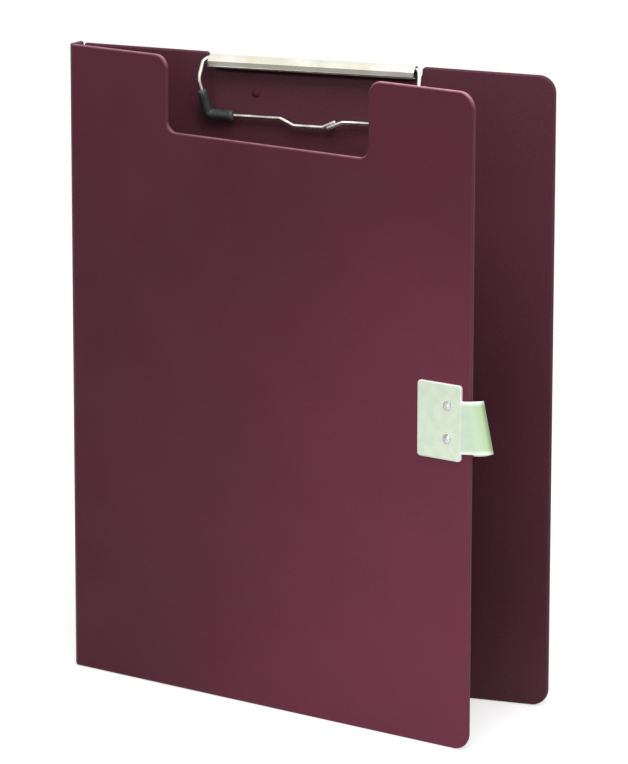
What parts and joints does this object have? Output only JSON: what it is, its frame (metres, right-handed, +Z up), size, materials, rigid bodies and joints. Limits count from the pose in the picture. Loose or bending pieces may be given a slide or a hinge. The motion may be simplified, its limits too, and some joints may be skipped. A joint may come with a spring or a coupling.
{
  "type": "folding clipboard",
  "caption": "Two-panel A4 clipboard that folds at a spine, with a sprung wire clip at the back board's top edge, a notch in the cover for it and a pen loop on the cover's free edge.",
  "frame": {"origin": "middle of the back board's bottom edge, half way through its thickness", "axes": "+X from the spine to the free edges, -Y towards the reader's side of the back board, +Z up"},
  "size_m": [0.2478, 0.0924, 0.318],
  "materials": {
    "panel": "fine moulded grain, satin",
    "clip_rivets": "smooth satin, board colour",
    "clip_steel": "nickel-plated sheet, bright",
    "clip_wire": "bright nickel-plated spring wire",
    "sleeve_rubber": "matte black rubber",
    "loop_plate": "pale, slightly translucent",
    "loop_ribbon": "pale, soft, slightly translucent",
    "loop_rivets": "bright domed rivets"
  },
  "bodies": {
    "board": {"back_board": "panel", "clip_base": "clip_steel", "clip_rivets": "clip_rivets"},
    "spine": {"spine": "panel", "rear_fold_web": "panel", "front_fold_web": "panel"},
    "cover": {"front_cover": "panel", "loop_plate": "loop_plate", "pen_loop": "loop_ribbon", "loop_rivets": "loop_rivets", "loop_washers": "loop_rivets"},
    "bail": {"clip_wire": "clip_wire", "left_sleeve": "sleeve_rubber", "right_sleeve": "sleeve_rubber"}
  },
  "joints": [
    {"name": "rear_fold", "type": "hinge", "parent": "board", "child": "spine", "pos_m": [-0.1225, 0, 0], "axis": [0, 0, -1], "range_deg": [-8.75, 171.25]},
    {"name": "front_fold", "type": "hinge", "parent": "spine", "child": "cover", "pos_m": [-0.12433, -0.01186, 0], "axis": [0, 0, -1], "range_deg": [-8.75, 171.25]},
    {"name": "bail_pivot", "type": "hinge", "parent": "board", "child": "bail", "pos_m": [0, -0.00515, 0.3138], "axis": [-1, 0, 0], "range_deg": [0, 110], "stiffness_Nm_per_rad": 0.08, "springref_deg": -68.75}
  ],
  "couplings": [
    {"joint": "front_fold", "follows": "rear_fold", "ratio": 1}
  ]
}
